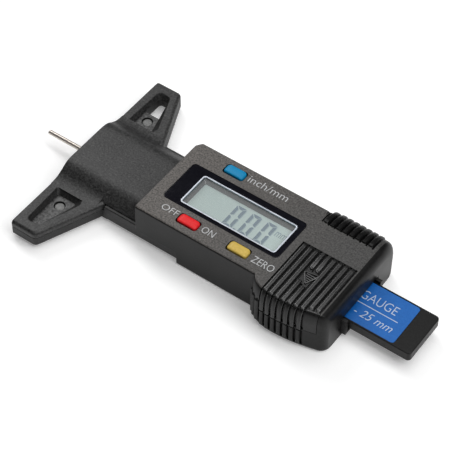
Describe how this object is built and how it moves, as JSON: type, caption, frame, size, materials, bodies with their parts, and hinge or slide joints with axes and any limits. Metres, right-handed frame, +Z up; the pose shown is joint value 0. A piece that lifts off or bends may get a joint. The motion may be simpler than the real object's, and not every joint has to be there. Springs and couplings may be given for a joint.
{
  "type": "tyre tread depth gauge",
  "caption": "Slim digital tyre tread depth gauge: winged foot, sliding probe pin and tongue, raised display housing with push buttons and a ribbed grip.",
  "frame": {"origin": "bottom centre of the whole gauge as it lies on its back: midway between the pin tip and the tongue end, on the centre line, at the housing's underside", "axes": "+X along the measuring axis from the pin tip to the tongue end, +Y across the foot to the wing with the hanging hole, +Z up out of the display"},
  "size_m": [0.1322, 0.07, 0.0161],
  "materials": {
    "foot_lower": "fine spark texture",
    "foot_upper": "fine spark texture",
    "near_stud": "matt grey",
    "far_stud": "matt grey",
    "pin": "ground",
    "tongue": "fine spark texture",
    "label": "printed film",
    "scale": "circuit laminate",
    "spring": "rolled bronze",
    "cover": "speckled grey face on black moulding",
    "back_plate": "fine spark texture",
    "battery_cover": "gloss",
    "bezel": "gloss",
    "trim": "satin silver",
    "lens": "clear",
    "lcd": "pale green glass",
    "zebra_near": "elastomer",
    "zebra_far": "elastomer",
    "red_button": "satin",
    "yellow_button": "satin",
    "blue_button": "satin",
    "red_dome": "sprung steel",
    "yellow_dome": "sprung steel",
    "blue_dome": "sprung steel",
    "board": "solder mask",
    "chip": "epoxy",
    "cell": "nickel plate",
    "contact_negative": "sprung strip",
    "contact_positive": "sprung strip",
    "case_screw_1": "zinc plate",
    "case_screw_2": "zinc plate",
    "case_screw_3": "zinc plate",
    "case_screw_4": "zinc plate",
    "board_screw_1": "zinc plate",
    "board_screw_2": "zinc plate",
    "board_screw_3": "zinc plate",
    "board_screw_4": "zinc plate"
  },
  "bodies": {
    "gauge_body": {"foot_lower_shell": "foot_lower", "foot_upper_shell": "foot_upper", "near_wing_stud": "near_stud", "far_wing_stud": "far_stud", "friction_spring": "spring", "module_cover": "cover", "module_back_plate": "back_plate", "window_bezel": "bezel", "window_trim": "trim", "display_lens": "lens", "lcd_glass": "lcd", "zebra_strip_near": "zebra_near", "zebra_strip_far": "zebra_far", "red_button_dome": "red_dome", "yellow_button_dome": "yellow_dome", "blue_button_dome": "blue_dome", "circuit_board": "board", "processor_chip": "chip", "coin_cell": "cell", "battery_contact_negative": "contact_negative", "battery_contact_positive": "contact_positive", "case_screw_1": "case_screw_1", "case_screw_2": "case_screw_2", "case_screw_3": "case_screw_3", "case_screw_4": "case_screw_4", "board_screw_1": "board_screw_1", "board_screw_2": "board_screw_2", "board_screw_3": "board_screw_3", "board_screw_4": "board_screw_4"},
    "probe_slide": {"measuring_tongue": "tongue", "tongue_label": "label", "scale_strip": "scale", "probe_pin": "pin"},
    "power_button": {"red_power_button": "red_button"},
    "zero_button": {"yellow_zero_button": "yellow_button"},
    "unit_button": {"blue_unit_button": "blue_button"},
    "battery_door": {"battery_cover": "battery_cover"}
  },
  "joints": [
    {"name": "probe_travel", "type": "slide", "parent": "gauge_body", "child": "probe_slide", "axis": [1, 0, 0], "range_m": [-0.0108, 0.0146]},
    {"name": "power_press", "type": "slide", "parent": "gauge_body", "child": "power_button", "axis": [0, 0, -1], "range_m": [0, 0.0005], "stiffness_N_per_m": 800},
    {"name": "zero_press", "type": "slide", "parent": "gauge_body", "child": "zero_button", "axis": [0, 0, -1], "range_m": [0, 0.0005], "stiffness_N_per_m": 800},
    {"name": "unit_press", "type": "slide", "parent": "gauge_body", "child": "unit_button", "axis": [0, 0, -1], "range_m": [0, 0.0005], "stiffness_N_per_m": 800},
    {"name": "battery_cover_travel", "type": "slide", "parent": "gauge_body", "child": "battery_door", "axis": [0, -1, 0], "range_m": [0, 0.022]}
  ]
}
